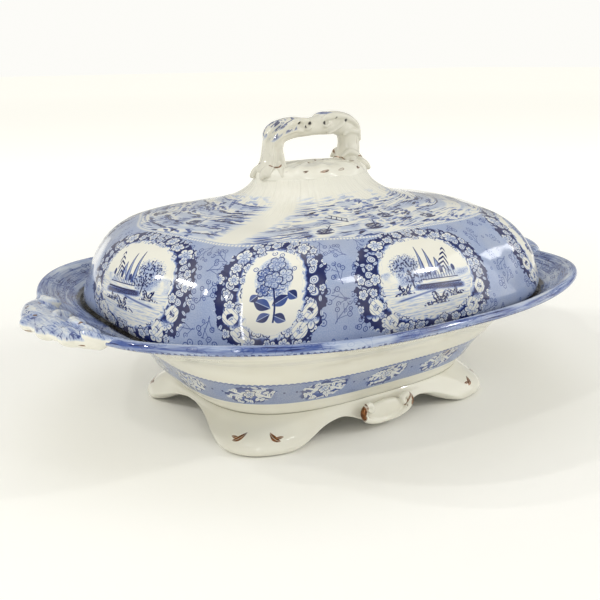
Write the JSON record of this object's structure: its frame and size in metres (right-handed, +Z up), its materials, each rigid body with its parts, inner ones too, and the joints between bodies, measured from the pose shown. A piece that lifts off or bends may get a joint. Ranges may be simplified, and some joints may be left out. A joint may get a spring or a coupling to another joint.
{
  "type": "covered soup tureen",
  "caption": "Covered soup tureen: footed oblong dish with a flared lip and end handles, and a domed lobed lid with a loop handle that lifts off.",
  "frame": {"origin": "centre of the plane the four feet stand on", "axes": "+X along the length through the end handles, +Y across, +Z up"},
  "size_m": [0.34, 0.244, 0.1627],
  "materials": {
    "printed_glaze": "gloss",
    "white_glaze": "gloss"
  },
  "bodies": {
    "base": {"tureen_bowl": "printed_glaze", "pedestal_foot": "white_glaze", "right_end_handle": "printed_glaze", "left_end_handle": "printed_glaze", "front_foot_scroll": "white_glaze", "back_foot_scroll": "white_glaze"},
    "lid": {"lid_cover": "printed_glaze", "lid_handle_collar": "white_glaze", "lid_loop_handle": "white_glaze"}
  },
  "joints": [
    {"name": "lid_lift", "type": "slide", "parent": "base", "child": "lid", "axis": [0, 0, 1], "range_m": [0, 0.12]}
  ]
}
